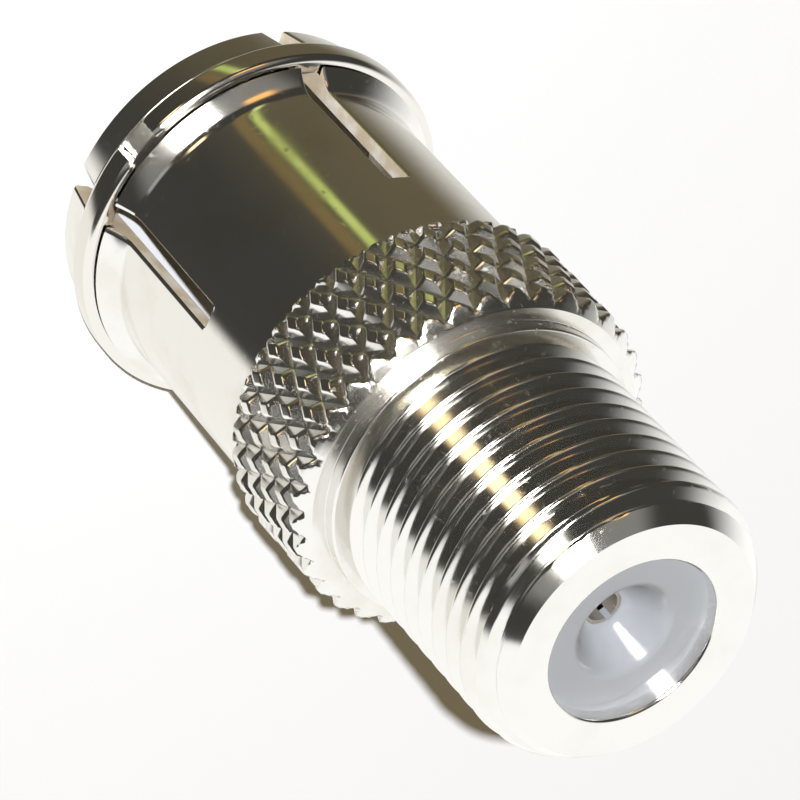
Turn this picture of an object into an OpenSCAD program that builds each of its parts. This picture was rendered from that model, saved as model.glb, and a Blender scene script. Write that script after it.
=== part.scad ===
// Coaxial adapter: a slotted push-on sleeve at the bottom, a 3/8-32 threaded jack at the top.
// It stands on the mouth of the sleeve. Z is the axis of every turned part.

/* [Threaded barrel] */
// Major diameter of the 3/8-32 outside thread
thread_d = 9.4; // [9.2:0.05:9.6]
// Length of the barrel from the collar to the end face
thread_len = 8.5; // [7:0.1:11]
// Pitch of the thread: 32 to the inch
thread_pitch = 0.794; // [0.6:0.001:1]
// Depth of the thread, from crest to root
thread_depth = 0.49; // [0.3:0.01:0.5]
// Width of the flat on a crest
crest_flat = 0.09; // [0.04:0.01:0.14]
// Width of the flat in a root
root_flat = 0.14; // [0.04:0.01:0.2]
// Depth of the first full crest behind the end face, at the front of the adapter
first_crest = 1.786; // [1.4:0.001:2.2]
// Width of the plain groove between the thread and the collar
relief_len = 0.15; // [0.1:0.05:0.6]
// Length of the lead-in, a chamfer that runs out in a curve
lead_len = 1.3; // [1:0.1:1.5]
// Length of its chamfer alone, if it ran on to the full diameter
lead_chamfer = 0.8; // [0.5:0.05:0.9]
// Diameter of the flat ring on the end face
end_face_d = 7.96; // [7.2:0.02:8.4]
// Diameter of the mouth in the end face
mouth_d = 5.5; // [5:0.02:6]
// Bevel on the edge of the mouth
mouth_bevel = 0.12; // [0.05:0.01:0.2]
// Thickness of the lip that holds the front insulator
mouth_lip = 0.5; // [0.4:0.05:1]
// Diameter of the bore behind the lip
barrel_bore_d = 6.8; // [6.4:0.1:7.2]

/* [Collar] */
// Diameter of the plain collar between the thread and the knurl
collar_d = 9.96; // [9.7:0.02:10.4]
// Length of the collar
collar_len = 0.45; // [0.3:0.05:1]
// Bevel on the edge of the collar
collar_bevel = 0.1; // [0.05:0.01:0.15]

/* [Knurled grip] */
// Diameter over the points of the knurl
knurl_d = 11.7; // [11.6:0.05:12.5]
// Length of the knurled grip
knurl_len = 4.25; // [3:0.05:7]
// Depth of the knurl
knurl_depth = 0.3; // [0.2:0.01:0.36]
// Points around the grip
knurl_count = 37; // [30:1:48]
// Angle of the grooves of the knurl to the axis
knurl_angle = 30; // [25:1:45]
// Share of each point that is left flat
knurl_flat = 0.375; // [0.1:0.025:0.6]
// Height of the first row of points above the foot of the grip
knurl_row = 0.57; // [0.2:0.01:0.8]
// Diameter at which the bevel starts on the face of the grip
knurl_face_d = 10.8; // [10.4:0.05:11.2]
// Length of the bevel on the face of the grip
knurl_face_bevel = 0.32; // [0.15:0.01:0.4]
// Bevel at the foot of the grip
knurl_foot_bevel = 0.15; // [0.1:0.01:0.25]

/* [Push-on sleeve] */
// Outside diameter of the sleeve where it leaves the grip
sleeve_d = 10.64; // [10.5:0.02:10.8]
// How much slimmer the sleeve is at its flare
sleeve_taper = 0.14; // [0:0.02:0.2]
// Length of the sleeve from the mouth to the grip
sleeve_len = 10.95; // [9.5:0.05:13]
// Bore of the sleeve
sleeve_bore_d = 9.6; // [9.5:0.02:9.7]
// Depth of the bore of the sleeve
sleeve_bore_len = 10.2; // [9:0.1:12]
// Bevel inside the mouth of the sleeve
sleeve_mouth_bevel = 0.25; // [0.1:0.05:0.35]

/* [Slots] */
// Width of a slot
slot_w = 0.75; // [0.5:0.05:1]
// Length of a slot from the mouth
slot_len = 7.9; // [5:0.1:8.5]
// Angle between the two saw cuts that make the four slots
slot_cross = 82; // [60:1:120]

/* [Rim and clamp ring] */
// Diameter of the lip at the mouth
lip_mouth_d = 11.1; // [10.8:0.05:11.2]
// Diameter of the lip beside the clamp ring
lip_d = 11.7; // [11.4:0.05:11.9]
// Length of the lip
lip_len = 1.3; // [1:0.05:2]
// Length of the flare between the ring and the sleeve
flare_len = 0.55; // [0.4:0.05:1.2]
// Diameter at the top of the flare
flare_d = 11.5; // [11.3:0.05:11.8]
// Outside diameter of the clamp ring
ring_d = 12.1; // [12:0.05:12.4]
// Thickness of the clamp ring, out from the floor of its groove
ring_t = 0.55; // [0.45:0.05:0.65]
// Width of the clamp ring
ring_w = 0.95; // [0.7:0.05:1.2]
// Gap between the ends of the clamp ring
ring_gap = 1.1; // [0.6:0.1:2]
// Turn of the ring gap from the front of the adapter
ring_turn = 18; // [-30:1:30]

/* [Insulators] */
// Length of the front insulator
front_ins_len = 6.0; // [5:0.1:7]
// Diameter of the rim of its funnel
funnel_d = 3.4; // [2.6:0.1:4]
// Depth of the funnel
funnel_depth = 1.2; // [0.8:0.1:1.5]
// Hole at the bottom of the funnel
funnel_hole_d = 1.2; // [1.1:0.05:1.5]
// Diameter of the rear insulator
rear_ins_d = 8.5; // [8:0.1:9]
// Thickness of the rear insulator
rear_ins_len = 2.0; // [1.5:0.1:2.4]

/* [Contact] */
// Diameter of the centre pin
pin_d = 1.0; // [0.8:0.05:1]
// Diameter of the pin's root, where it passes through the rear insulator
pin_root_d = 1.6; // [1.4:0.05:1.8]
// How far the tip of the pin lies inside the mouth of the sleeve
pin_recess = 1.2; // [0.5:0.1:3]
// Diameter of the flange between the insulators
flange_d = 2.8; // [2.4:0.1:3.2]
// Thickness of the flange
flange_len = 0.8; // [0.5:0.1:1.2]
// Outside diameter of the socket
socket_d = 1.9; // [1.7:0.05:2.1]
// Bore of the socket
socket_bore_d = 1.0; // [0.8:0.05:1.1]
// Depth of the bore of the socket
socket_bore_len = 4.0; // [3:0.1:4.2]
// Width of the slit in the socket
slit_w = 0.2; // [0.15:0.05:0.3]
// Length of the slit in the socket
slit_len = 3.0; // [2:0.1:3.5]

/* [Fits] */
// Play between an insulator and its seat
seat_play = 0.04; // [0.02:0.01:0.06]
// Play between the contact and the insulators
contact_play = 0.05; // [0.03:0.01:0.08]
// Play between the clamp ring and its groove
ring_play = 0.08; // [0.03:0.01:0.1]

/* [Hidden] */
$fn = 96;
past = 1;              // how far a cutter runs past what it cuts
sink = 0.15;           // how far the knurl and the thread sink into the core below them
thread_steps = 24;     // the thread climbs one turn in this many small steps

// Heights of the steps of the body, from the mouth up
groove_z0 = lip_len;
groove_z1 = groove_z0 + ring_w + 2 * ring_play;
flare_z = groove_z1 + flare_len;
knurl_z0 = sleeve_len;
knurl_z1 = knurl_z0 + knurl_len;
collar_z = knurl_z1 + collar_len;
end_z = collar_z + thread_len;
lip_z = end_z - mouth_lip;

// Radii of the clamp ring and of its groove
ring_bore_r = ring_d / 2 - ring_t;
groove_r = ring_bore_r - ring_play;

// Radii of the body
thread_r = thread_d / 2;
sleeve_r = sleeve_d / 2;
flare_foot_r = sleeve_r - sleeve_taper / 2;
knurl_r = knurl_d / 2;
valley_r = knurl_r - knurl_depth;
core_r = valley_r - 0.04;                // the core just below the valleys of the knurl
root_r = thread_r - thread_depth;
barrel_core_r = root_r - sink;

// Insulators and contact, stacked from the floor of the sleeve's bore
rear_z0 = sleeve_bore_len;
rear_z1 = rear_z0 + rear_ins_len;
pocket_r = rear_ins_d / 2 + seat_play;
flange_z0 = rear_z1 + contact_play;
flange_z1 = flange_z0 + flange_len;
front_z0 = lip_z - front_ins_len;
front_face_z = lip_z;
hole_z = front_face_z - funnel_depth;
socket_z1 = hole_z - contact_play;
socket_seat_r = socket_d / 2 + contact_play;
pin_tip = 0.35 * pin_d;

// A curve from point a to point c that leaves a towards b and reaches c from b
function bend(a, b, c, steps = 8) =
    [for (i = [0:steps]) let (t = i / steps) (1 - t) * (1 - t) * a + 2 * t * (1 - t) * b + t * t * c];

// A hollow foot curve from (r0, z0) in to (r1, z1), tangent to the sleeve at its top
function flare_curve(r0, z0, r1, z1, steps = 6) =
    [for (i = [0:steps]) let (t = i / steps) [r1 + (r0 - r1) * pow(1 - t, 2), z0 + (z1 - z0) * t]];

// The turned outline of the body: up the outside, and down the stepped bore
module body_outline() {
    polygon(concat(
        [[sleeve_bore_d / 2 + sleeve_mouth_bevel, 0], [lip_mouth_d / 2 - 0.1, 0], [lip_mouth_d / 2, 0.1]],
        [[lip_d / 2, groove_z0 - 0.1], [lip_d / 2 - 0.1, groove_z0]],
        [[groove_r, groove_z0], [groove_r, groove_z1]],
        flare_curve(flare_d / 2, groove_z1, flare_foot_r, flare_z),
        [[sleeve_r, knurl_z0], [core_r, knurl_z0], [core_r, knurl_z1], [collar_d / 2, knurl_z1]],
        [[collar_d / 2, collar_z - collar_bevel], [collar_d / 2 - collar_bevel, collar_z]],
        [[barrel_core_r, collar_z], [barrel_core_r, end_z - lead_len], [end_face_d / 2 - sink, end_z]],
        [[mouth_d / 2 + mouth_bevel, end_z], [mouth_d / 2, end_z - mouth_bevel]],
        [[mouth_d / 2, lip_z], [barrel_bore_d / 2, lip_z], [barrel_bore_d / 2, rear_z1]],
        [[pocket_r, rear_z1], [pocket_r, rear_z0], [sleeve_bore_d / 2, rear_z0]],
        [[sleeve_bore_d / 2, sleeve_mouth_bevel]]
    ));
}

// What the thread may fill: a plain groove beside the collar, then the barrel with its rounded lead-in
module thread_limits() {
    foot_z = collar_z - sink;
    groove_top = collar_z + relief_len;
    hub_r = barrel_core_r - sink;
    polygon(concat(
        [[hub_r, foot_z], [root_r, foot_z], [root_r, groove_top], [thread_r + past, groove_top]],
        [[thread_r + past, end_z - lead_len]],
        bend([thread_r, end_z - lead_len], [thread_r, end_z - lead_chamfer], [end_face_d / 2, end_z]),
        [[end_face_d / 2 - 2 * sink, end_z], [hub_r, end_z - lead_len]]
    ));
}

// One side of the thread, its crests raised by a share of the pitch
module thread_section(share) {
    turns = ceil((thread_len + sink) / thread_pitch);
    function crest_z(k) = end_z - first_crest + thread_pitch * (k + share);
    polygon(concat(
        [[0, crest_z(-turns) - thread_pitch / 2]],
        [for (k = [-turns:2]) let (z = crest_z(k)) each [
            [root_r, z - (thread_pitch - root_flat) / 2], [thread_r, z - crest_flat / 2],
            [thread_r, z + crest_flat / 2], [root_r, z + (thread_pitch - root_flat) / 2]]],
        [[0, crest_z(2) + thread_pitch / 2]]
    ));
}

// The right-handed thread, turned a step at a time and raised with each step
module thread() {
    step = 360 / thread_steps;
    for (i = [0:thread_steps - 1])
        rotate([0, 0, i * step])
            rotate_extrude(angle = step)
                intersection() {
                    thread_section((i + 0.5) / thread_steps);
                    thread_limits();
                }
}

// The blank that the knurl is rolled on: flat at the points, bevelled at its face and at its foot
module knurl_blank() {
    rotate_extrude()
        polygon([
            [core_r - 2 * sink, knurl_z0], [knurl_r - knurl_foot_bevel, knurl_z0],
            [knurl_r, knurl_z0 + knurl_foot_bevel], [knurl_r, knurl_z1 - knurl_face_bevel],
            [knurl_face_d / 2, knurl_z1], [core_r - 2 * sink, knurl_z1]
        ]);
}

// Sharp pyramids on a lattice, longer than the grip: points and valleys take turns along each row
module knurl_lattice() {
    cols = 2 * knurl_count;
    row_h = PI * knurl_d / cols / tan(knurl_angle);
    below = ceil(knurl_row / row_h);
    above = ceil((knurl_len - knurl_row) / row_h);
    rows = below + above + 1;
    point_r = knurl_r + knurl_depth * knurl_flat / (1 - knurl_flat);
    inner_r = core_r - sink;
    function row_z(n) = knurl_z0 + knurl_row + (n - below) * row_h;
    function row_r(n, m) = (n + m + below) % 2 == 0 ? point_r : valley_r;
    outer = [for (n = [0:rows - 1]) for (m = [0:cols - 1])
        let (a = 360 * m / cols) [row_r(n, m) * cos(a), row_r(n, m) * sin(a), row_z(n)]];
    inner = [for (n = [0, rows - 1]) for (m = [0:cols - 1])
        let (a = 360 * m / cols) [inner_r * cos(a), inner_r * sin(a), row_z(n)]];
    function at(n, m) = n * cols + m % cols;
    function low(m) = rows * cols + m % cols;
    function high(m) = (rows + 1) * cols + m % cols;
    walls = [for (n = [0:rows - 2]) for (m = [0:cols - 1])
        // the shared edge of each pair of triangles runs along a groove, valley to valley
        let (a = at(n, m), b = at(n, m + 1), c = at(n + 1, m + 1), d = at(n + 1, m))
        each (n + m + below) % 2 == 0 ? [[a, d, b], [b, d, c]] : [[a, c, b], [a, d, c]]];
    rims = [for (m = [0:cols - 1]) each [
        [at(0, m), at(0, m + 1), low(m + 1)], [at(0, m), low(m + 1), low(m)],
        [at(rows - 1, m + 1), at(rows - 1, m), high(m)], [at(rows - 1, m + 1), high(m), high(m + 1)],
        [low(m), low(m + 1), high(m + 1)], [low(m), high(m + 1), high(m)]]];
    polyhedron(points = concat(outer, inner), faces = concat(walls, rims));
}

// One saw cut right across the sleeve makes a pair of slots
module saw_cut(turn) {
    rotate([0, 0, turn])
        translate([-ring_d, -slot_w / 2, -past])
            cube([2 * ring_d, slot_w, slot_len + past]);
}

module body() {
    color([0.74, 0.73, 0.71])
        difference() {
            union() {
                rotate_extrude() body_outline();
                intersection() {
                    knurl_blank();
                    knurl_lattice();
                }
                thread();
            }
            saw_cut(slot_cross / 2);
            saw_cut(-slot_cross / 2);
        }
}

// A half-round band, open at one place, sprung into the groove of the rim
module clamp_ring() {
    crown = 0.25 * ring_w;
    gap_half = ring_gap / 2;
    color([0.82, 0.80, 0.78])
        difference() {
            rotate_extrude()
                translate([0, groove_z0 + ring_play])
                    polygon(concat(
                        [[ring_bore_r, 0]],
                        [for (i = [0:6]) let (a = -90 + 15 * i)
                            [ring_d / 2 - crown + crown * cos(a), crown + crown * sin(a)]],
                        [for (i = [0:6]) let (a = 15 * i)
                            [ring_d / 2 - crown + crown * cos(a), ring_w - crown + crown * sin(a)]],
                        [[ring_bore_r, ring_w]]
                    ));
            rotate([0, 0, ring_turn])
                translate([0, -gap_half, 0])
                    cube([ring_d, ring_gap, end_z]);
        }
}

// Moulded plug behind the jack's mouth, dished to guide the mating wire into the socket
module front_insulator() {
    funnel_r = funnel_d / 2;
    hole_r = funnel_hole_d / 2;
    wall_r = barrel_bore_d / 2 - seat_play;
    dish_steps = 10;
    color([0.62, 0.64, 0.67])
        rotate_extrude()
            polygon(concat(
                [[socket_seat_r, front_z0], [wall_r, front_z0], [wall_r, front_face_z]],
                [for (i = [0:dish_steps]) let (t = i / dish_steps)
                    [funnel_r + (hole_r - funnel_r) * t,
                     front_face_z + (hole_z - front_face_z) * (1 - cos(180 * t)) / 2]],
                [[socket_seat_r, hole_z]]
            ));
}

// Disc at the floor of the sleeve that centres the pin
module rear_insulator() {
    color([0.93, 0.92, 0.88])
        translate([0, 0, rear_z0])
            difference() {
                cylinder(r = rear_ins_d / 2, h = rear_ins_len);
                translate([0, 0, -past])
                    cylinder(d = pin_root_d + 2 * contact_play, h = rear_ins_len + 2 * past);
            }
}

// Turned contact: the plug's pin below, a flange, and the jack's slit socket above
module contact() {
    pin_r = pin_d / 2;
    color([0.80, 0.68, 0.42])
        difference() {
            union() {
                translate([0, 0, pin_recess + pin_tip])
                    cylinder(r = pin_r, h = rear_z0 - pin_recess - pin_tip);
                translate([0, 0, rear_z0])
                    cylinder(d = pin_root_d, h = flange_z0 - rear_z0);
                translate([0, 0, pin_recess])
                    cylinder(r1 = 0.35 * pin_r, r2 = pin_r, h = pin_tip);
                translate([0, 0, flange_z0])
                    cylinder(d = flange_d, h = flange_len);
                translate([0, 0, flange_z1])
                    cylinder(d = socket_d, h = socket_z1 - flange_z1);
            }
            translate([0, 0, socket_z1 - socket_bore_len])
                cylinder(d = socket_bore_d, h = socket_bore_len + past);
            translate([-socket_d, -slit_w / 2, socket_z1 - slit_len])
                cube([2 * socket_d, slit_w, slit_len + past]);
        }
}

body();
clamp_ring();
front_insulator();
rear_insulator();
contact();
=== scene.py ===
"""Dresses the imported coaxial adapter: turned and knurled nickel, its spring ring and its plastics."""

import math

import bpy
import numpy as np
from bpy.props import FloatProperty, FloatVectorProperty, IntProperty, PointerProperty
from mathutils import Matrix, Vector


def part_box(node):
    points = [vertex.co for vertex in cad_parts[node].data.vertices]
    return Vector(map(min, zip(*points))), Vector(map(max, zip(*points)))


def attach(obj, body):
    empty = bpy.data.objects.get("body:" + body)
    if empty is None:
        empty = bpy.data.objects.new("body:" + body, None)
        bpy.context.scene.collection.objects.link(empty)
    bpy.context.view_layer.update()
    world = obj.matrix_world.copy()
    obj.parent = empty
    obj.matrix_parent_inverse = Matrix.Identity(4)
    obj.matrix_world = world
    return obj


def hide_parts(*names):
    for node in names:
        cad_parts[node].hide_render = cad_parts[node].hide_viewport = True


bl_info = {
    "name": "Coaxial Adapter",
    "version": (1, 0, 0),
    "blender": (4, 5, 0),
    "location": "View3D > Sidebar > Adapter",
    "description": "Builds the visible pieces, finishes and stage of a push-on coaxial adapter",
    "category": "Object",
}

MM = 0.001
FULL_TURN = 2 * math.pi
BODY = "root"
FILLET_STEPS = 4
FILLET_HOLD = 0.15
CREASE = math.radians(38)
TOOL_MARK_REACH = 0.02 * MM
PEEL_REACH = 0.03 * MM
FLOOR_HALF_WIDTH = 0.6

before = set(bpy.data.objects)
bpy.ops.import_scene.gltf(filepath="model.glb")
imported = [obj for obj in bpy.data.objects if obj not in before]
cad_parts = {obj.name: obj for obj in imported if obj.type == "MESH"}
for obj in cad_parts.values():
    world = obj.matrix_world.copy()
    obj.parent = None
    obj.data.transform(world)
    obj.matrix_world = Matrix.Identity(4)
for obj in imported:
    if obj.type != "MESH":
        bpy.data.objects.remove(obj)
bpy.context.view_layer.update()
TOP_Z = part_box("body")[1].z
GRIP_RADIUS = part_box("body")[1].x
RING_LOW, RING_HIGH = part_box("clamp_ring")
INSULATOR_LOW, INSULATOR_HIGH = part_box("front_insulator")
REAR_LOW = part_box("rear_insulator")[0]


def scalar(label, text, value):
    """A plain number property."""
    return FloatProperty(name=label, description=text, default=value)


def length(label, text, value):
    """A length property, given in millimetres and kept in metres."""
    return FloatProperty(name=label, description=text, default=value * MM, unit="LENGTH", precision=5)


def bearing(label, text, degrees):
    """An angle property, given in degrees and kept in radians."""
    return FloatProperty(name=label, description=text, default=math.radians(degrees), subtype="ANGLE")


def colour(label, text, value):
    """A colour property."""
    return FloatVectorProperty(
        name=label, description=text, default=value, subtype="COLOR", size=3, min=0.0, max=1.0
    )


class BarrelSizes(bpy.types.PropertyGroup):
    """Sizes of the threaded barrel."""

    barrel_length: length("Length", "From the end face back to the collar", 8.5)
    major_radius: length("Major radius", "Radius over the crests of the thread", 4.7)
    thread_depth: length("Thread depth", "From crest to root", 0.49)
    pitch: length("Pitch", "Distance between crests, 32 to the inch", 0.794)
    first_crest: length("First crest", "Depth of the first full crest behind the end face, at +X", 1.786)
    crest_flat: length("Crest flat", "Width of the flat on a crest", 0.09)
    root_flat: length("Root flat", "Width of the flat in a root", 0.14)
    rounding: length("Rounding", "How far plating rounds the corners of the thread", 0.018)
    lead_length: length("Lead-in", "Length of the lead-in, a chamfer that runs out in a curve", 1.3)
    lead_chamfer: length("Chamfer", "Length of its chamfer alone, run on to the major radius", 0.8)
    face_radius: length("Face radius", "Outer radius of the flat end face", 3.98)
    mouth_radius: length("Mouth radius", "Radius of the mouth in the end face", 2.75)
    mouth_edge: length("Mouth edge", "Rounding of the edge of the mouth", 0.12)
    relief: length("Relief", "Width of the plain groove between thread and collar", 0.15)


class GripSizes(bpy.types.PropertyGroup):
    """Sizes of the collar and of the knurled grip."""

    collar_radius: length("Collar radius", "Radius of the plain collar", 4.98)
    collar_length: length("Collar length", "Length of the plain collar", 0.45)
    grip_length: length("Grip length", "Length of the knurled grip", 4.25)
    knurl_depth: length("Knurl depth", "From the points to the grooves", 0.30)
    knurl_count: IntProperty(name="Points", description="Knurl points round the grip", default=37, min=8)
    groove_angle: bearing("Groove angle", "Angle of the grooves to the axis", 30.0)
    point_flat: scalar("Point flat", "Share of each point left flat", 0.375)
    first_row: length("First row", "Height of the first row of points above the foot", 0.57)
    face_radius: length("Face radius", "Radius at which the bevel on the face starts", 5.4)
    face_bevel: length("Face bevel", "Length of the bevel on the face", 0.32)
    foot_bevel: length("Foot bevel", "Bevel at the foot", 0.15)


class SleeveSizes(bpy.types.PropertyGroup):
    """Sizes of the slotted push-on sleeve and of its rim."""

    grip_end_radius: length("Radius at the grip", "Outer radius where the sleeve leaves the grip", 5.32)
    flare_foot_radius: length("Radius at the flare", "Outer radius where the flare starts", 5.25)
    bore_radius: length("Bore radius", "Radius of the bore", 4.8)
    pocket_radius: length("Pocket radius", "Radius of the pocket for the rear insulator", 4.29)
    mouth_bevel: length("Mouth bevel", "Bevel inside the mouth", 0.25)
    sleeve_length: length("Length", "From the mouth to the grip", 10.95)
    flare_length: length("Flare length", "Length of the flare", 0.8)
    flare_radius: length("Flare radius", "Radius of the flare beside the ring", 5.75)
    groove_radius: length("Groove radius", "Radius of the floor of the ring groove", 5.42)
    groove_play: length("Groove play", "Play on each side of the ring", 0.08)
    lip_radius: length("Lip radius", "Radius of the lip beside the ring", 5.85)
    lip_mouth_radius: length("Lip mouth radius", "Radius of the lip at the mouth", 5.55)
    slot_width: length("Slot width", "Width of a slot", 0.75)
    slot_length: length("Slot length", "Length of a slot from the mouth", 7.9)
    slot_corner: length("Slot corner", "Rounding of the closed end of a slot", 0.12)
    slot_half_cross: bearing("Half cross angle", "Half the angle between the two saw cuts", 41.0)
    edge_break: length("Edge break", "Broken edge along each slot", 0.04)


class RingSizes(bpy.types.PropertyGroup):
    """Sizes of the clamp ring."""

    gap: length("Gap", "Gap between the ends of the ring", 1.1)
    crown: length("Crown", "Rounding of the outer corners", 0.22)
    gap_turn: bearing("Gap turn", "Direction of the gap from +X", 18.0)
    end_share: scalar("End size", "Size of the two end faces, as a share of the section", 0.93)
    inner_edge: length("Inner edge", "Rounding of the inner corners", 0.05)


class InsulatorSizes(bpy.types.PropertyGroup):
    """Sizes of the dished front insulator."""

    funnel_radius: length("Funnel radius", "Radius of the rim of the funnel", 1.7)
    funnel_depth: length("Funnel depth", "Depth of the funnel", 1.2)
    hole_radius: length("Hole radius", "Radius of the hole at the bottom of the funnel", 0.6)
    hole_depth: length("Hole depth", "Visible depth of the hole", 0.5)
    edge: length("Edge", "Rounding of the outer edge", 0.08)


class Finish(bpy.types.PropertyGroup):
    """Colours and gloss of the finishes."""

    nickel: colour("Nickel", "Bright nickel plate", (0.86, 0.85, 0.825))
    tarnish: colour("Tarnish", "Nickel where it has dulled", (0.72, 0.68, 0.60))
    # The bore colour is painted shade and painted bounce light: a dull brown, set as bright as the
    # inside of the slots looks.
    bore: colour("Bore", "Thin plate in the bore and on the saw cuts", (0.52, 0.43, 0.30))
    nickel_roughness: scalar("Nickel roughness", "Roughness of the plate", 0.10)
    grip_roughness: scalar("Grip roughness", "Roughness of the plate on the knurl", 0.16)
    plastic: colour("Grey plastic", "Blue-grey of the front insulator", (0.345, 0.357, 0.375))
    white_plastic: colour("White plastic", "Off-white of the rear insulator", (0.86, 0.85, 0.81))
    contact: colour("Contact", "Dulled brass of the contact", (0.34, 0.31, 0.26))


class StageSettings(bpy.types.PropertyGroup):
    """Camera, lamp and surroundings."""

    camera_turn: bearing("Camera turn", "Direction of the camera from +X", 7.4)
    camera_height: bearing("Camera height", "Angle of the camera above the floor", 42.5)
    camera_roll: bearing("Camera roll", "Turn about the line of sight", 138.2)
    camera_distance: length("Camera distance", "From the camera to the point it aims at", 205.6)
    aim_height: length("Aim height", "Height of the point that the camera aims at", 11.33)
    aim_side: length("Aim offset", "Sideways offset of that point", 0.38)
    lens: scalar("Lens", "Focal length in millimetres", 315.0)
    lamp_offset: bearing("Lamp offset", "Turn of the lamp from the camera", -3.0)
    lamp_distance: length("Lamp distance", "From the lamp to the adapter", 1000.0)
    lamp_size: length("Lamp size", "Diameter of the lamp", 12.0)
    lamp_power: scalar("Lamp power", "Power of the lamp in watts", 15.5)
    lamp_tone: colour("Lamp colour", "Colour of the lamp", (0.92, 0.945, 1.0))
    ambient: colour("Ambient", "Soft light from all round", (0.18, 0.145, 0.08))
    floor_tone: colour("Floor", "Colour of the floor", (0.86, 0.86, 0.86))
    table_turn: bearing("Dim side", "Direction from +X that lies opposite the bright table", -17.6)
    overhead_turn: bearing("Overhead turn", "Direction from +X of the overhead reflection", -5.6)
    overhead_height: bearing("Overhead height", "Angle of that reflection above the floor", 77.0)


# ---------------------------------------------------------------- meshes


def polar(radius, angle, height):
    """Points from matching arrays of radius, angle and height, one row each."""
    radius, angle, height = np.broadcast_arrays(radius, angle, height)
    return np.stack([radius * np.cos(angle), radius * np.sin(angle), height], axis=-1)


def grid_quads(rows, cols, first=0):
    """Quads between the closed rows of a grid of points, which starts at index first."""
    row = np.arange(rows - 1)[:, None]
    col = np.arange(cols)[None, :]
    side = (col + 1) % cols
    quads = [row * cols + col, row * cols + side, (row + 1) * cols + side, (row + 1) * cols + col]
    return np.stack(np.broadcast_arrays(*quads), axis=-1).reshape(-1, 4) + first


def add_piece(name, points, faces, material, nodes, crease=CREASE):
    """Makes a mesh piece that rides on the adapter and stands for the named CAD nodes."""
    mesh = bpy.data.meshes.new(name)
    mesh.from_pydata(np.asarray(points).reshape(-1, 3).tolist(), [], [list(map(int, f)) for f in faces])
    mesh.validate()
    mesh.polygons.foreach_set("use_smooth", [True] * len(mesh.polygons))
    mesh.set_sharp_from_angle(angle=crease)
    mesh.update()
    piece = bpy.data.objects.new(name, mesh)
    bpy.context.scene.collection.objects.link(piece)
    piece.data.materials.append(material)
    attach(piece, BODY)
    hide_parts(*nodes)
    return piece


def fillet(start, corner, end, radius):
    """Points that round a corner of a profile, with a point past each end that keeps the sides flat."""
    start, corner, end = (np.array(p, float) for p in (start, corner, end))
    into = (start - corner) / np.linalg.norm(start - corner)
    out = (end - corner) / np.linalg.norm(end - corner)
    first, last = corner + into * radius, corner + out * radius
    share = np.linspace(0, 1, FILLET_STEPS + 1)[:, None]
    curve = (1 - share) ** 2 * first + 2 * share * (1 - share) * corner + share**2 * last
    return [first + into * radius * FILLET_HOLD, *curve, last + out * radius * FILLET_HOLD]


def profile(points, radii):
    """An open profile with each inner corner rounded by its own radius; 0 keeps it sharp."""
    made = [np.array(points[0], float)]
    for i in range(1, len(points) - 1):
        if radii[i] > 0:
            made += fillet(points[i - 1], points[i], points[i + 1], radii[i])
        else:
            made.append(np.array(points[i], float))
    made.append(np.array(points[-1], float))
    return np.array(made)


# ---------------------------------------------------------------- materials


def new_group(name, inputs, outputs):
    """An empty shader node group with named sockets."""
    group = bpy.data.node_groups.new(name, "ShaderNodeTree")
    for label, kind, value in inputs:
        socket = group.interface.new_socket(label, in_out="INPUT", socket_type=kind)
        socket.default_value = value
    for label, kind in outputs:
        group.interface.new_socket(label, in_out="OUTPUT", socket_type=kind)
    return group, group.nodes.new("NodeGroupInput"), group.nodes.new("NodeGroupOutput")


def add_node(tree, kind, **settings):
    """A node with the given inputs and settings."""
    node = tree.nodes.new(kind)
    for key, value in settings.items():
        if key in node.inputs:
            node.inputs[key].default_value = value
        else:
            setattr(node, key, value)
    return node


def link_math(tree, operation, first, second=None):
    """A Math node on one or two values or sockets. Gives its output socket."""
    node = tree.nodes.new("ShaderNodeMath")
    node.operation = operation
    for slot, value in enumerate((first, second)):
        if value is None:
            continue
        if isinstance(value, bpy.types.NodeSocket):
            tree.links.new(value, node.inputs[slot])
        else:
            node.inputs[slot].default_value = value
    return node.outputs[0]


def map_range(tree, value, low, high, to_low=0.0, to_high=1.0, smooth=False):
    """A Map Range node, held to its new range. Gives its output socket."""
    node = tree.nodes.new("ShaderNodeMapRange")
    node.interpolation_type = "SMOOTHSTEP" if smooth else "LINEAR"
    tree.links.new(value, node.inputs["Value"])
    limits = {"From Min": low, "From Max": high, "To Min": to_low, "To Max": to_high}
    for label, limit in limits.items():
        if isinstance(limit, bpy.types.NodeSocket):
            tree.links.new(limit, node.inputs[label])
        else:
            node.inputs[label].default_value = limit
    return node.outputs["Result"]


def mix_colour(tree, factor, first, second):
    """Mixes two colours or colour sockets by a factor socket or number."""
    node = tree.nodes.new("ShaderNodeMix")
    node.data_type = "RGBA"
    colours = [s for s in node.inputs if s.type == "RGBA"]
    for socket, value in ((node.inputs[0], factor), (colours[0], first), (colours[1], second)):
        if isinstance(value, bpy.types.NodeSocket):
            tree.links.new(value, socket)
        else:
            socket.default_value = value if isinstance(value, (int, float)) else (*value[:3], 1.0)
    return next(s for s in node.outputs if s.type == "RGBA")


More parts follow.
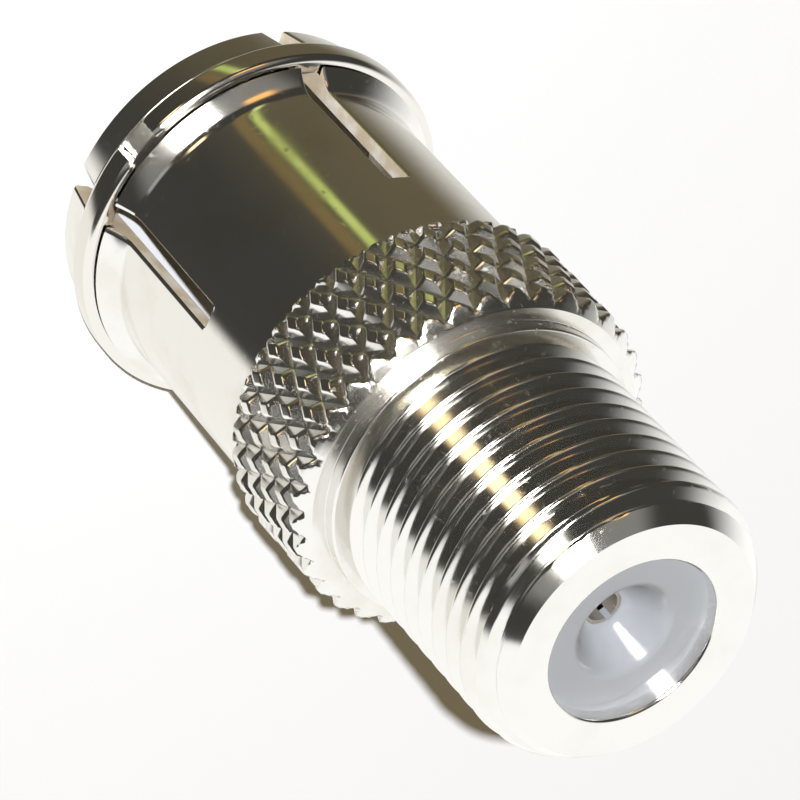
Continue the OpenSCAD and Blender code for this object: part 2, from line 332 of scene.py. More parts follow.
def turned_grain_group():
    """Fine rings that a lathe tool leaves, as a height, and slow stains, as a mask."""
    group, inside, outside = new_group(
        "turned_grain",
        [
            ("Ring Scale", "NodeSocketFloat", 9000.0),
            ("Stain Scale", "NodeSocketFloat", 350.0),
        ],
        [("Height", "NodeSocketFloat"), ("Stain", "NodeSocketFloat"), ("Speck", "NodeSocketFloat")],
    )
    links = group.links
    place = add_node(group, "ShaderNodeTexCoord").outputs["Object"]
    split = add_node(group, "ShaderNodeSeparateXYZ")
    links.new(place, split.inputs[0])
    x2 = link_math(group, "MULTIPLY", split.outputs["X"], split.outputs["X"])
    y2 = link_math(group, "MULTIPLY", split.outputs["Y"], split.outputs["Y"])
    radius = link_math(group, "SQRT", link_math(group, "ADD", x2, y2))
    rings = add_node(group, "ShaderNodeCombineXYZ")
    links.new(radius, rings.inputs["X"])
    links.new(split.outputs["Z"], rings.inputs["Y"])
    ring_noise = add_node(group, "ShaderNodeTexNoise", Detail=2.0, Roughness=0.6)
    links.new(rings.outputs[0], ring_noise.inputs["Vector"])
    links.new(inside.outputs["Ring Scale"], ring_noise.inputs["Scale"])
    links.new(ring_noise.outputs[0], outside.inputs["Height"])
    stain = add_node(group, "ShaderNodeTexNoise", Detail=4.0, Roughness=0.55)
    links.new(place, stain.inputs["Vector"])
    links.new(inside.outputs["Stain Scale"], stain.inputs["Scale"])
    links.new(map_range(group, stain.outputs[0], 0.42, 0.68, smooth=True), outside.inputs["Stain"])
    speck = add_node(group, "ShaderNodeTexNoise", Detail=1.0, Scale=4200.0)
    links.new(place, speck.inputs["Vector"])
    links.new(map_range(group, speck.outputs[0], 0.66, 0.74), outside.inputs["Speck"])
    return group


def new_material(name):
    """A new material with its node tree and its Principled BSDF."""
    material = bpy.data.materials.new(name)
    material.use_nodes = True
    shader = material.node_tree.nodes["Principled BSDF"]
    return material, material.node_tree, shader


def place_group(tree, group, **values):
    """Places a node group with its own values, whose names have _ for each space."""
    node = tree.nodes.new("ShaderNodeGroup")
    node.node_tree = group
    for label, value in values.items():
        node.inputs[label.replace("_", " ")].default_value = value
    return node


def grain_group():
    """The one group of lathe marks, made when it is first asked for."""
    return bpy.data.node_groups.get("turned_grain") or turned_grain_group()


def nickel_material(name, finish, stain_amount, grain_height, roughness):
    """Bright nickel plate over turned brass: faint tool rings, slow stains and a few dull specks."""
    material, tree, shader = new_material(name)
    shader.inputs["Metallic"].default_value = 1.0
    marks = place_group(tree, grain_group())
    stain = link_math(tree, "MULTIPLY", marks.outputs["Stain"], stain_amount)
    tint = mix_colour(tree, stain, finish.nickel, finish.tarnish)
    tree.links.new(tint, shader.inputs["Base Color"])
    dull = link_math(tree, "MULTIPLY", marks.outputs["Speck"], 0.10)
    spread = link_math(tree, "MULTIPLY", marks.outputs["Stain"], 0.07)
    total = link_math(tree, "ADD", link_math(tree, "ADD", dull, spread), roughness)
    tree.links.new(total, shader.inputs["Roughness"])
    bump = add_node(tree, "ShaderNodeBump", Strength=grain_height, Distance=TOOL_MARK_REACH)
    tree.links.new(marks.outputs["Height"], bump.inputs["Height"])
    tree.links.new(bump.outputs[0], shader.inputs["Normal"])
    return material


def bore_shade_material(name, finish):
    """Dull brownish finish for the bore and the saw cuts; its colour is painted shade and painted bounce
    light of the inside.
    """
    material, tree, shader = new_material(name)
    shader.inputs["Metallic"].default_value = 0.15
    shader.inputs["Specular IOR Level"].default_value = 0.1
    marks = place_group(tree, grain_group(), Stain_Scale=700.0)
    tint = mix_colour(tree, marks.outputs["Stain"], finish.bore, finish.tarnish)
    tree.links.new(tint, shader.inputs["Base Color"])
    dull = map_range(tree, marks.outputs["Speck"], 0.0, 1.0, 0.34, 0.5)
    tree.links.new(dull, shader.inputs["Roughness"])
    return material


def plastic_material(name, tone, roughness, clouding):
    """Moulded plastic with faint clouding and an orange-peel skin."""
    material, tree, shader = new_material(name)
    shader.inputs["IOR"].default_value = 1.5
    place = add_node(tree, "ShaderNodeTexCoord").outputs["Object"]
    cloud = add_node(tree, "ShaderNodeTexNoise", Scale=600.0, Detail=3.0)
    tree.links.new(place, cloud.inputs["Vector"])
    pale = [min(1.0, c * (1.0 + clouding)) for c in tone]
    deep = [c * (1.0 - clouding) for c in tone]
    tree.links.new(mix_colour(tree, cloud.outputs[0], deep, pale), shader.inputs["Base Color"])
    dull = map_range(tree, cloud.outputs[0], 0.3, 0.7, roughness * 0.85, roughness * 1.15)
    tree.links.new(dull, shader.inputs["Roughness"])
    peel = add_node(tree, "ShaderNodeTexNoise", Scale=2500.0, Detail=1.0)
    tree.links.new(place, peel.inputs["Vector"])
    bump = add_node(tree, "ShaderNodeBump", Strength=0.08, Distance=PEEL_REACH)
    tree.links.new(peel.outputs[0], bump.inputs["Height"])
    tree.links.new(bump.outputs[0], shader.inputs["Normal"])
    return material


def brass_material(name, finish):
    """Dulled brass of the contact, with tool rings and brown toning."""
    material, tree, shader = new_material(name)
    shader.inputs["Metallic"].default_value = 0.4
    marks = place_group(tree, grain_group(), Ring_Scale=6000.0, Stain_Scale=900.0)
    toned = [c * 0.55 for c in finish.contact]
    factor = link_math(tree, "MULTIPLY", marks.outputs["Stain"], 0.6)
    tree.links.new(mix_colour(tree, factor, finish.contact, toned), shader.inputs["Base Color"])
    dull = map_range(tree, marks.outputs["Stain"], 0.0, 1.0, 0.25, 0.42)
    tree.links.new(dull, shader.inputs["Roughness"])
    bump = add_node(tree, "ShaderNodeBump", Strength=0.15, Distance=TOOL_MARK_REACH)
    tree.links.new(marks.outputs["Height"], bump.inputs["Height"])
    tree.links.new(bump.outputs[0], shader.inputs["Normal"])
    return material


# ---------------------------------------------------------------- pieces


def thread_height(across, sizes):
    """Height of the thread, 0 at the root and 1 at the crest, at a distance from the crest."""
    half = sizes.pitch / 2
    crest, root = sizes.crest_flat / 2, half - sizes.root_flat / 2
    offsets = np.linspace(-2, 2, 9) * sizes.rounding
    weights = np.exp(-((offsets / sizes.rounding) ** 2) / 2)
    height = np.zeros_like(across)
    for offset, weight in zip(offsets, weights / weights.sum()):
        folded = np.abs((across + offset + half) % sizes.pitch - half)
        height += weight * np.clip((root - folded) / (root - crest), 0.0, 1.0)
    return height


class ADAPTER_OT_barrel(bpy.types.Operator):
    """Makes the threaded barrel with its mouth, end face and rounded lead-in"""

    bl_idname = "adapter.barrel"
    bl_label = "Threaded Barrel"

    COLUMNS = 256
    ROW_STEP = 0.0255 * MM
    MOUTH_OVERLAP = 0.05 * MM
    LEAD_STEPS = 32

    def execute(self, context):
        sizes = context.scene.adapter_barrel
        finish = context.scene.adapter_finish
        angle = np.arange(self.COLUMNS) * FULL_TURN / self.COLUMNS
        foot = TOP_Z - sizes.barrel_length
        mouth = profile(
            [
                (sizes.mouth_radius, INSULATOR_HIGH.z - self.MOUTH_OVERLAP),
                (sizes.mouth_radius, TOP_Z),
                (sizes.face_radius, TOP_Z),
            ],
            [0, sizes.mouth_edge, 0],
        )
        rows = int(round(sizes.barrel_length / self.ROW_STEP))
        drop = np.linspace(0, 1, rows + 1)[1:] * sizes.barrel_length
        height = (TOP_Z - drop)[:, None]
        lead = self.lead_in(drop, sizes)
        turn = (TOP_Z - sizes.first_crest - height) + sizes.pitch * angle[None, :] / FULL_TURN
        across = (turn + sizes.pitch / 2) % sizes.pitch - sizes.pitch / 2
        root = sizes.major_radius - sizes.thread_depth
        radius = root + sizes.thread_depth * thread_height(across, sizes)
        radius = np.minimum(radius, lead[:, None])
        fade = np.clip((height - foot - sizes.relief) / sizes.relief, 0, 1)
        radius = root + (radius - root) * np.where(radius > root, fade, 1)
        inner = polar(mouth[:, 0][:, None], angle[None, :], mouth[:, 1][:, None])
        outer = polar(radius, angle[None, :], height)
        points = np.concatenate([inner, outer])
        faces = grid_quads(len(points), self.COLUMNS)
        material = nickel_material("nickel_thread", finish, 0.25, 0.02, finish.nickel_roughness)
        add_piece("threaded_barrel", points, faces, material, ["body"])
        return {"FINISHED"}

    def lead_in(self, drop, sizes):
        """Largest radius at a depth below the end face: a chamfer that curves out to the crests."""
        t = np.linspace(1, 0, self.LEAD_STEPS + 1)
        depth = (1 - t) ** 2 * sizes.lead_length + 2 * t * (1 - t) * sizes.lead_chamfer
        radius = sizes.major_radius - (sizes.major_radius - sizes.face_radius) * t**2
        return np.interp(drop, depth, radius)


class ADAPTER_OT_grip(bpy.types.Operator):
    """Makes the plain collar and the grip with its diamond knurl"""

    bl_idname = "adapter.grip"
    bl_label = "Knurled Grip"

    STEPS = 8
    COLLAR_OVERLAP = 0.1 * MM
    COLLAR_EDGE = 0.07 * MM
    COLLAR_FOOT = 0.03 * MM
    FOOT_OVERLAP = 0.4 * MM
    KNURL_CREASE = math.radians(60)

    def execute(self, context):
        sizes = context.scene.adapter_grip
        barrel = context.scene.adapter_barrel
        finish = context.scene.adapter_finish
        cols = sizes.knurl_count * 2 * self.STEPS
        angle = np.arange(cols) * FULL_TURN / cols
        collar_top = TOP_Z - barrel.barrel_length
        grip_top = collar_top - sizes.collar_length
        grip_foot = grip_top - sizes.grip_length
        root = barrel.major_radius - barrel.thread_depth
        collar = profile(
            [
                (root - self.COLLAR_OVERLAP, collar_top),
                (sizes.collar_radius, collar_top),
                (sizes.collar_radius, grip_top),
                (sizes.face_radius, grip_top),
            ],
            [0, self.COLLAR_EDGE, self.COLLAR_FOOT, 0],
        )
        diamond = FULL_TURN * GRIP_RADIUS / sizes.knurl_count / math.tan(sizes.groove_angle)
        step = diamond / (2 * self.STEPS)
        first = grip_foot + sizes.first_row
        row = np.arange(math.ceil((grip_foot - first) / step), math.ceil((grip_top - first) / step))
        height = np.concatenate([[grip_top], first + row[::-1] * step, [grip_foot]])[:, None]
        around = angle[None, :] / FULL_TURN * sizes.knurl_count
        along = (height - first) / diamond
        groove = np.maximum(self.from_point(around + along), self.from_point(around - along))
        fall = np.clip((groove - sizes.point_flat) / (1 - sizes.point_flat), 0, 1)
        radius = GRIP_RADIUS - sizes.knurl_depth * fall
        face_rise = (GRIP_RADIUS - sizes.face_radius) / sizes.face_bevel
        radius = np.minimum(radius, sizes.face_radius + (grip_top - height) * face_rise)
        radius = np.minimum(radius, GRIP_RADIUS - sizes.foot_bevel + height - grip_foot)
        tail_radius = GRIP_RADIUS - sizes.knurl_depth - self.FOOT_OVERLAP
        blocks = [
            polar(collar[:, 0][:, None], angle[None, :], collar[:, 1][:, None]),
            polar(radius, angle[None, :], height),
            polar(tail_radius, angle[None, :], np.array([[grip_foot]])),
        ]
        points = np.concatenate(blocks)
        faces = self.split_on_grooves(grid_quads(len(points), cols), points, sizes, first, diamond)
        material = nickel_material("nickel_grip", finish, 0.5, 0.03, finish.grip_roughness)
        add_piece("knurled_grip", points, faces, material, ["body"], self.KNURL_CREASE)
        return {"FINISHED"}

    def from_point(self, turns):
        """Distance from the nearest line of points, 0 on it and 1 in the groove beside it."""
        return np.abs((turns + 0.5) % 1.0 - 0.5) * 2

    def split_on_grooves(self, quads, points, sizes, first, diamond):
        """Splits each quad along the groove that is nearer, so that no groove is stepped."""
        centre = points.reshape(-1, 3)[quads].mean(axis=1)
        around = np.arctan2(centre[:, 1], centre[:, 0]) / FULL_TURN * sizes.knurl_count
        along = (centre[:, 2] - first) / diamond
        falls = self.from_point(around + along) > self.from_point(around - along)
        a, b, c, d = quads.T
        falling = [np.stack([a, b, c], 1), np.stack([a, c, d], 1)]
        rising = [np.stack([a, b, d], 1), np.stack([b, c, d], 1)]
        return np.concatenate([f[falls] for f in falling] + [f[~falls] for f in rising])


class ADAPTER_OT_sleeve(bpy.types.Operator):
    """Makes the push-on sleeve with its four slots, flare, ring groove and lip"""

    bl_idname = "adapter.sleeve"
    bl_label = "Slotted Sleeve"

    FINGER_COLUMNS = 72
    SLOT_COLUMNS = 4
    FLARE_STEPS = 12
    NEAR = 0.005 * MM
    BREAK_DEPTH = 0.8
    GROOVE_BEVEL = 0.01 * MM
    RIM_EDGES = [0, 0.02 * MM, 0.03 * MM, 0.03 * MM, 0.07 * MM, 0.1 * MM, 0]

    def outer_profile(self, sizes):
        """The outside of the sleeve from the grip down to the mouth, as radius and height."""
        play = sizes.groove_play
        groove_top, groove_foot = RING_HIGH.z + play, RING_LOW.z - play
        flare_top = groove_top + sizes.flare_length
        share = np.linspace(0, 1, self.FLARE_STEPS + 1)[1:-1]
        reach = sizes.flare_radius - sizes.flare_foot_radius
        flare = np.stack(
            [sizes.flare_foot_radius + reach * share**2, flare_top - sizes.flare_length * share], axis=1
        )
        seat, slot_end = REAR_LOW.z, sizes.slot_length
        # The rows lie closest at the closed end of the slots, whose corners are rounded.
        straight_z = np.concatenate(
            [
                [sizes.sleeve_length, seat + self.NEAR, seat - self.NEAR],
                np.linspace(seat - 0.4 * MM, slot_end + 0.4 * MM, 4),
                np.linspace(slot_end + 0.2 * MM, slot_end - 0.2 * MM, 17),
                np.linspace(slot_end - 0.4 * MM, flare_top, 12),
            ]
        )
        fall = (sizes.sleeve_length - straight_z) / (sizes.sleeve_length - flare_top)
        straight_r = sizes.grip_end_radius + (sizes.flare_foot_radius - sizes.grip_end_radius) * fall
        rim = profile(
            [
                tuple(flare[-1]),
                (sizes.flare_radius, groove_top),
                (sizes.groove_radius, groove_top - self.GROOVE_BEVEL),
                (sizes.groove_radius, groove_foot + self.GROOVE_BEVEL),
                (sizes.lip_radius, groove_foot),
                (sizes.lip_mouth_radius, 0.0),
                (sizes.bore_radius + sizes.mouth_bevel, 0.0),
            ],
            self.RIM_EDGES,
        )
        return np.concatenate([np.stack([straight_r, straight_z], axis=1), flare, rim[1:]])

    def inner_radius(self, height, sizes):
        """Radius of the bore, or of the pocket above it, with the bevel inside the mouth."""
        radius = np.where(height > REAR_LOW.z, sizes.pocket_radius, sizes.bore_radius)
        return radius + np.clip(sizes.mouth_bevel - height, 0, None)

    def half_width(self, height, sizes):
        """Half the width of a slot at a height, with the corners of its closed end rounded."""
        corner = sizes.slot_corner
        into = np.clip(height - (sizes.slot_length - corner), 0, corner)
        return sizes.slot_width / 2 - (corner - np.sqrt(np.maximum(corner**2 - into**2, 0)))

    def columns(self, sizes):
        """Each column as (finger or slot, its start slot, its share of the way across)."""
        fine = sizes.edge_break / (sizes.bore_radius * math.radians(90))
        between = np.linspace(fine, 1 - fine, self.FINGER_COLUMNS)[1:-1]
        finger = np.concatenate([[0, fine], between, [1 - fine, 1]])
        slot = [-1 + 2 * (i + 1) / (self.SLOT_COLUMNS + 1) for i in range(self.SLOT_COLUMNS)]
        made = []
        for start in range(4):
            made += [("finger", start, float(share)) for share in finger]
            made += [("slot", start, share) for share in slot]
        return made

    def execute(self, context):
        sizes = context.scene.adapter_sleeve
        finish = context.scene.adapter_finish
        outline = self.outer_profile(sizes)
        cross = sizes.slot_half_cross
        centres = np.array([cross, math.pi - cross, math.pi + cross, FULL_TURN - cross])
        columns = self.columns(sizes)
        outer_r, height = outline[:, 0], outline[:, 1]
        inner_r = self.inner_radius(height, sizes)
        cut = height < sizes.slot_length + self.NEAR
        points = []
        for radii, outside in ((outer_r, True), (inner_r, False)):
            half_angle = np.arcsin(self.half_width(height, sizes) / radii)
            sheet = np.zeros((len(height), len(columns), 3))
            for k, (kind, slot, share) in enumerate(columns):
                if kind == "finger":
                    start = centres[slot] + half_angle
                    span = (centres[(slot + 1) % 4] - centres[slot]) % FULL_TURN - 2 * half_angle
                    angle = start + span * share
                    broken = cut & (share in (0.0, 1.0)) & outside
                else:
                    angle = centres[(slot + 1) % 4] + half_angle * share
                    broken = (np.abs(height - sizes.slot_length) < self.NEAR) & outside
                radius = radii - np.where(broken, sizes.edge_break * self.BREAK_DEPTH, 0.0)
                sheet[:, k] = polar(radius, angle, height)
            points.append(sheet)
        faces = self.build_faces(columns, height, cut)
        material = nickel_material("nickel_sleeve", finish, 0.5, 0.02, finish.nickel_roughness)
        piece = add_piece("slotted_sleeve", np.stack(points), faces, material, ["body"])
        # The bore and the saw cuts take a dull brown whose colour is painted shade and painted bounce
        # light.
        piece.data.materials.append(bore_shade_material("bore_painted_shade", finish))
        inside = len(height) * len(columns)
        for face in piece.data.polygons:
            face.material_index = int(max(face.vertices) >= inside)
        return {"FINISHED"}

    def build_faces(self, columns, height, cut):
        """Skins the outside and the inside, leaves the slots open and walls their sides and ends."""
        rows, cols = len(height), len(columns)
        shift = rows * cols
        is_slot = np.array([kind == "slot" for kind, _, _ in columns])
        open_col = is_slot | np.roll(is_slot, -1)
        first_cut = int(np.argmax(cut))
        keep = np.ones((rows - 1, cols), bool)
        keep[first_cut:, open_col] = False
        outer = grid_quads(rows, cols)[keep.ravel()]
        inner = grid_quads(rows, cols, shift)[keep.ravel()][:, ::-1]
        faces = [outer, inner]
        row = np.arange(first_cut, rows - 1)
        starts = [k for k in range(cols) if not is_slot[k] and is_slot[k - 1]]
        ends = [k for k in range(cols) if not is_slot[k] and is_slot[(k + 1) % cols]]
        for k, order in [(k, 1) for k in starts] + [(k, -1) for k in ends]:
            a, b = row * cols + k, (row + 1) * cols + k
            faces.append(np.stack([a, b, b + shift, a + shift], axis=1)[:, ::order])
        for k in range(cols):
            side = (k + 1) % cols
            if open_col[k]:
                a, b = first_cut * cols + k, first_cut * cols + side
                faces.append(np.array([[a, a + shift, b + shift, b]]))
            else:
                a, b = (rows - 1) * cols + k, (rows - 1) * cols + side
                faces.append(np.array([[a, b, b + shift, a + shift]]))
        return np.concatenate(faces)


class ADAPTER_OT_ring(bpy.types.Operator):
    """Makes the open clamp ring that is sprung into the groove of the rim"""

    bl_idname = "adapter.ring"
    bl_label = "Clamp Ring"

    COLUMNS = 220
    CORNER_STEPS = 7

    def execute(self, context):
        sizes = context.scene.adapter_ring
        sleeve = context.scene.adapter_sleeve
        outer = max(RING_HIGH.x, RING_HIGH.y)
        bore = sleeve.groove_radius + sleeve.groove_play
        low, high = RING_LOW.z, RING_HIGH.z
        corner, small = sizes.crown, sizes.inner_edge
        section = []
        for (r, z), radius, start in (
            ((outer - corner, low + corner), corner, -90),
            ((outer - corner, high - corner), corner, 0),
            ((bore + small, high - small), small, 90),
            ((bore + small, low + small), small, 180),
        ):
            for a in np.radians(np.linspace(start, start + 90, self.CORNER_STEPS)):
                section.append((r + radius * math.cos(a), z + radius * math.sin(a)))
        section = np.array(section)
        half = math.asin(sizes.gap / 2 / outer)
        angle = np.linspace(sizes.gap_turn + half, sizes.gap_turn + FULL_TURN - half, self.COLUMNS)
        centre = section.mean(axis=0)
        shrink = np.ones(self.COLUMNS)
        shrink[[0, -1]] = sizes.end_share
        rings = []
        for turn, share in zip(angle, shrink):
            outline = centre + (section - centre) * share
            rings.append(polar(outline[:, 0], turn, outline[:, 1]))
        points = np.array(rings)
        count = len(section)
        faces = [list(f) for f in grid_quads(self.COLUMNS, count)]
        faces.append(list(range(count)))
        faces.append([(self.COLUMNS - 1) * count + k for k in reversed(range(count))])
        # The ring keeps the plain nickel of the frame, with no grain and no stain.
        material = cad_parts["clamp_ring"].data.materials[0]
        add_piece("spring_ring", points, faces, material, ["clamp_ring"])
        return {"FINISHED"}


class ADAPTER_OT_insulators(bpy.types.Operator):
    """Makes the dished front insulator, and finishes the rear insulator and the contact"""

    bl_idname = "adapter.insulators"
    bl_label = "Insulators And Contact"

    COLUMNS = 128
    FUNNEL_STEPS = 18

    def execute(self, context):
        sizes = context.scene.adapter_insulator
        finish = context.scene.adapter_finish
        wall = INSULATOR_HIGH.x
        face = INSULATOR_HIGH.z
        share = np.linspace(0, 1, self.FUNNEL_STEPS + 1)
        dish_r = sizes.funnel_radius + (sizes.hole_radius - sizes.funnel_radius) * share
        dish_z = face - sizes.funnel_depth * (1 - np.cos(math.pi * share)) / 2
        corners = [(wall, INSULATOR_LOW.z), (wall, face), (dish_r[0], dish_z[0])]
        rim = profile(corners, [0, sizes.edge, 0])
        hole = [(sizes.hole_radius, face - sizes.funnel_depth - sizes.hole_depth)]
        outline = np.concatenate([rim, np.stack([dish_r, dish_z], axis=1)[1:], hole])
        angle = np.arange(self.COLUMNS) * FULL_TURN / self.COLUMNS
        points = polar(outline[:, 0][:, None], angle[None, :], outline[:, 1][:, None])
        faces = grid_quads(len(outline), self.COLUMNS)[:, ::-1]
        material = plastic_material("grey_plastic", finish.plastic, 0.16, 0.05)
        add_piece("jack_insulator", points, faces, material, ["front_insulator"])
        dress = {
            "rear_insulator": plastic_material("white_plastic", finish.white_plastic, 0.45, 0.03),
            "contact": brass_material("contact_brass", finish),
        }
        for node, finish_material in dress.items():
            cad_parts[node].data.materials.clear()
            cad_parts[node].data.materials.append(finish_material)
        return {"FINISHED"}


# ---------------------------------------------------------------- stage


def direction(turn, height=0.0):
    """The unit vector at a turn from +X and an angle above the floor."""
    level = math.cos(height)
    return Vector((math.cos(turn) * level, math.sin(turn) * level, math.sin(height)))


def dot_with(tree, vector, fixed):
    """How far a vector socket points along a fixed direction."""
    node = tree.nodes.new("ShaderNodeVectorMath")
    node.operation = "DOT_PRODUCT"
    tree.links.new(vector, node.inputs[0])
    node.inputs[1].default_value = fixed
    return node.outputs["Value"]


def window(tree, value, low, high, soft):
    """1 between low and high, with soft shoulders outside."""
    rise = map_range(tree, value, low - soft, low, smooth=True)
    fall = map_range(tree, value, high, high + soft, 1.0, 0.0, smooth=True)
    return link_math(tree, "MULTIPLY", rise, fall)


def table_and_room(tree, side, away, rise):
    """The bright table on one side and the dim room on the other, with a softer edge to the right."""
    rightward = map_range(tree, side, -0.1, 0.5)
    upward = map_range(tree, rise, 0.0, 0.4, smooth=True)
    low_down = map_range(tree, rise, -0.6, -0.42, 1.0, 0.0, smooth=True)
    middle = map_range(tree, rightward, 0.0, 1.0, -0.06, -0.21)
    middle = link_math(tree, "ADD", middle, map_range(tree, upward, 0.0, 1.0, 0.0, -0.02))
    soft = map_range(tree, rightward, 0.0, 1.0, 0.07, 0.33)
    soft = link_math(tree, "MULTIPLY", soft, map_range(tree, upward, 0.0, 1.0, 1.0, 0.6))
    dim_end = link_math(tree, "ADD", middle, soft)
    bright_end = link_math(tree, "SUBTRACT", middle, soft)
    table = map_range(tree, away, dim_end, bright_end, smooth=True)
    browner = link_math(tree, "MULTIPLY", map_range(tree, side, -0.4, 0.7, smooth=True), low_down)
    dim = mix_colour(tree, browner, (0.052, 0.050, 0.044), (0.135, 0.114, 0.067))
    greyer = map_range(tree, rightward, 0.0, 1.0, smooth=True)
    near_table = mix_colour(tree, greyer, (1.01, 0.99, 0.94), (0.72, 0.70, 0.65))
    bright = mix_colour(tree, low_down, (1.13, 1.13, 1.11), near_table)
    return mix_colour(tree, table, dim, bright)


def room_reflections(tree, settings):
    """The room that polished metal shows: a bright table, a dim room, and the lights and walls in it."""
    ray = add_node(tree, "ShaderNodeTexCoord").outputs["Generated"]
    away = dot_with(tree, ray, direction(settings.table_turn))
    side = dot_with(tree, ray, direction(settings.table_turn - math.pi / 2))
    rise = dot_with(tree, ray, (0.0, 0.0, 1.0))
    turn = link_math(tree, "ARCTAN2", side, away)

    def patch(under, turns, turn_soft, rises, rise_soft, tone, share=1.0):
        """Lays a soft-edged patch over the room, between two turns in degrees and two heights."""
        first, last = (math.radians(t) for t in turns)
        across = window(tree, turn, first, last, math.radians(turn_soft))
        upright = window(tree, rise, *rises, rise_soft)
        cover = link_math(tree, "MULTIPLY", link_math(tree, "MULTIPLY", across, upright), share)
        return mix_colour(tree, cover, under, tone)

    strip_rise = map_range(tree, rise, -0.65, -0.45, smooth=True)
    strip_tone = mix_colour(tree, strip_rise, (0.60, 0.69, 0.20), (1.15, 1.16, 0.56))
    room = table_and_room(tree, side, away, rise)
    # Low down, a yellow strip and the brown edge beside it.
    room = patch(room, (20, 23), 3, (-0.8, -0.45), 0.12, strip_tone)
    room = patch(room, (8, 13), 4, (-0.8, -0.5), 0.12, (0.24, 0.17, 0.07), share=0.8)
    # A wide faint glow above, and a pale wall at the level of the adapter.
    room = patch(room, (-50, 35), 20, (0.2, 0.72), 0.15, (1.0, 0.98, 0.93), share=0.2)
    room = patch(room, (-58, -42), 4, (-0.10, 0.10), 0.05, (1.0, 0.98, 0.95), share=0.35)
    # An orange lamp, a warm lamp low down and the bright window.
    room = patch(room, (17, 30), 4, (0.12, 0.32), 0.06, (1.5, 0.80, 0.26))
    room = patch(room, (-26, -17), 3, (-0.42, -0.24), 0.06, (2.5, 1.95, 1.15))
    room = patch(room, (-27, -5), 4, (0.26, 0.78), 0.12, (20.0, 19.6, 19.0))
    overhead = dot_with(tree, ray, direction(settings.overhead_turn, settings.overhead_height))
    rim, core = (math.cos(math.radians(angle)) for angle in (7, 4))
    return mix_colour(tree, map_range(tree, overhead, rim, core, smooth=True), room, (4.0, 3.9, 3.6))


def build_world(settings):
    """A white surround with plain soft light, in which metal shows the room."""
    world = bpy.data.worlds.new("studio")
    bpy.context.scene.world = world
    world.use_nodes = True
    tree = world.node_tree
    tree.nodes.clear()
    path = add_node(tree, "ShaderNodeLightPath")
    glossy, through = path.outputs["Is Glossy Ray"], path.outputs["Is Transmission Ray"]
    reflected = link_math(tree, "MAXIMUM", glossy, through)
    plain = mix_colour(tree, path.outputs["Is Camera Ray"], settings.ambient, (1.0, 1.0, 1.0))
    final = mix_colour(tree, reflected, plain, room_reflections(tree, settings))
    shade = add_node(tree, "ShaderNodeBackground")
    out = add_node(tree, "ShaderNodeOutputWorld")
    tree.links.new(final, shade.inputs["Color"])
    tree.links.new(shade.outputs[0], out.inputs["Surface"])


def build_floor(settings):
    """A wide pale floor. It takes the adapter's shadow, and metal shows the room instead of it."""
    half = FLOOR_HALF_WIDTH
    corners = [(-half, -half, 0), (half, -half, 0), (half, half, 0), (-half, half, 0)]
    mesh = bpy.data.meshes.new("floor")
    mesh.from_pydata(corners, [], [(0, 1, 2, 3)])
    floor = bpy.data.objects.new("floor", mesh)
    bpy.context.scene.collection.objects.link(floor)
    material = bpy.data.materials.new("floor_white")
    material.use_nodes = True
    tree = material.node_tree
    tree.nodes.clear()
    matt = add_node(tree, "ShaderNodeBsdfDiffuse", Color=(*settings.floor_tone, 1.0))
    out = add_node(tree, "ShaderNodeOutputMaterial")
    tree.links.new(matt.outputs[0], out.inputs["Surface"])
    mesh.materials.append(material)
    floor.visible_glossy = False


def build_lamp(settings):
    """A small soft lamp beside the camera. Metal shows the room's bright window in its place."""
    data = bpy.data.lights.new("key_lamp", "AREA")
    data.shape = "DISK"
    data.size = settings.lamp_size
    data.energy = settings.lamp_power
    data.color = settings.lamp_tone
    lamp = bpy.data.objects.new("key_lamp", data)
    bpy.context.scene.collection.objects.link(lamp)
    back = direction(settings.camera_turn + settings.lamp_offset, settings.camera_height)
    lamp.location = Vector((0, 0, TOP_Z / 2)) + back * settings.lamp_distance
    lamp.rotation_mode = "QUATERNION"
    lamp.rotation_quaternion = back.to_track_quat("Z", "Y")
    lamp.visible_glossy = False


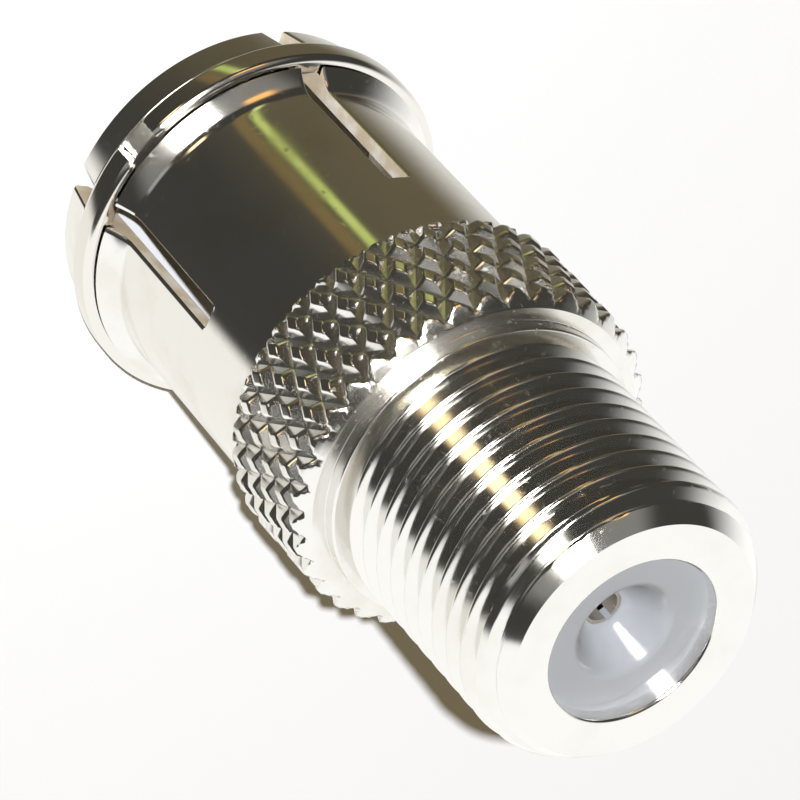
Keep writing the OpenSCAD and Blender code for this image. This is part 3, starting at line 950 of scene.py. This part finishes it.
def build_camera(settings):
    """The camera, turned about its line of sight so that the adapter lies aslant in the picture."""
    data = bpy.data.cameras.new("camera")
    data.lens = settings.lens
    data.sensor_width = 36.0
    data.clip_start, data.clip_end = 0.01, 10.0
    camera = bpy.data.objects.new("camera", data)
    bpy.context.scene.collection.objects.link(camera)
    back = direction(settings.camera_turn, settings.camera_height)
    level = Vector((0, 0, 1)).cross(back).normalized()
    above = back.cross(level)
    right = level * math.cos(settings.camera_roll) + above * math.sin(settings.camera_roll)
    up = back.cross(right)
    aim = Vector((0, 0, settings.aim_height)) + level * settings.aim_side
    turned = Matrix((right, up, back)).transposed().to_4x4()
    camera.matrix_world = Matrix.Translation(aim + back * settings.camera_distance) @ turned
    bpy.context.scene.camera = camera


class ADAPTER_OT_stage(bpy.types.Operator):
    """Sets up the floor, lamp, surroundings and camera"""

    bl_idname = "adapter.stage"
    bl_label = "Stage"

    def execute(self, context):
        settings = context.scene.adapter_stage
        context.scene.view_settings.view_transform = "Standard"
        build_world(settings)
        build_floor(settings)
        build_lamp(settings)
        build_camera(settings)
        return {"FINISHED"}


class ADAPTER_PT_panel(bpy.types.Panel):
    """Lists the adapter's pieces and stage in the sidebar"""

    bl_idname = "ADAPTER_PT_panel"
    bl_label = "Coaxial Adapter"
    bl_space_type = "VIEW_3D"
    bl_region_type = "UI"
    bl_category = "Adapter"

    def draw(self, context):
        for operator in OPERATORS:
            self.layout.operator(operator.bl_idname)


SETTINGS = {
    "adapter_barrel": BarrelSizes,
    "adapter_grip": GripSizes,
    "adapter_sleeve": SleeveSizes,
    "adapter_ring": RingSizes,
    "adapter_insulator": InsulatorSizes,
    "adapter_finish": Finish,
    "adapter_stage": StageSettings,
}
OPERATORS = (
    ADAPTER_OT_barrel,
    ADAPTER_OT_grip,
    ADAPTER_OT_sleeve,
    ADAPTER_OT_ring,
    ADAPTER_OT_insulators,
    ADAPTER_OT_stage,
)


def register():
    for cls in (*SETTINGS.values(), *OPERATORS, ADAPTER_PT_panel):
        bpy.utils.register_class(cls)
    for name, cls in SETTINGS.items():
        setattr(bpy.types.Scene, name, PointerProperty(type=cls))


def unregister():
    for name in SETTINGS:
        delattr(bpy.types.Scene, name)
    for cls in reversed((*SETTINGS.values(), *OPERATORS, ADAPTER_PT_panel)):
        bpy.utils.unregister_class(cls)


def main():
    """Builds everything in order."""
    register()
    bpy.ops.adapter.barrel()
    bpy.ops.adapter.grip()
    bpy.ops.adapter.sleeve()
    bpy.ops.adapter.ring()
    bpy.ops.adapter.insulators()
    bpy.ops.adapter.stage()


if __name__ == "__main__":
    main()
